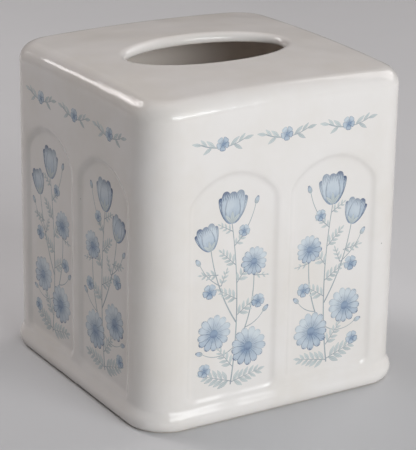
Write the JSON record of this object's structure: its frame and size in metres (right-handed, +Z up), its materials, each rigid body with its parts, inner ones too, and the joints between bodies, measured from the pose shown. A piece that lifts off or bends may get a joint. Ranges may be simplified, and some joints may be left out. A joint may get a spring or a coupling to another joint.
{
  "type": "tissue box cover",
  "caption": "Square glazed ceramic cover that drops over a cube carton of tissues, with an oval opening in its domed top, arched sunk panels, a flared foot and blue flower prints.",
  "frame": {"origin": "middle of the foot, on the surface that the cover stands on", "axes": "+Z up, through the oval opening; -Y out of the front side; +X to the right as one faces the front, along the oval's length"},
  "size_m": [0.137, 0.137, 0.148],
  "materials": {
    "white_glaze": "warm white gloss glaze over a pale cast body, bare under the foot",
    "blue_enamel": "fired gloss print in light and deep blues with grey-blue leaves",
    "grey_blue_enamel": "fired gloss print in pale grey-blue with small blue flowers"
  },
  "bodies": {
    "root": {"cover_shell": "white_glaze", "front_spray_left": "blue_enamel", "front_spray_right": "blue_enamel", "right_spray_left": "blue_enamel", "right_spray_right": "blue_enamel", "back_spray_left": "blue_enamel", "back_spray_right": "blue_enamel", "left_spray_left": "blue_enamel", "left_spray_right": "blue_enamel", "front_sprig_left": "grey_blue_enamel", "front_sprig_middle": "grey_blue_enamel", "front_sprig_right": "grey_blue_enamel", "right_sprig_left": "grey_blue_enamel", "right_sprig_middle": "grey_blue_enamel", "right_sprig_right": "grey_blue_enamel", "back_sprig_left": "grey_blue_enamel", "back_sprig_middle": "grey_blue_enamel", "back_sprig_right": "grey_blue_enamel", "left_sprig_left": "grey_blue_enamel", "left_sprig_middle": "grey_blue_enamel", "left_sprig_right": "grey_blue_enamel"}
  },
  "joints": []
}
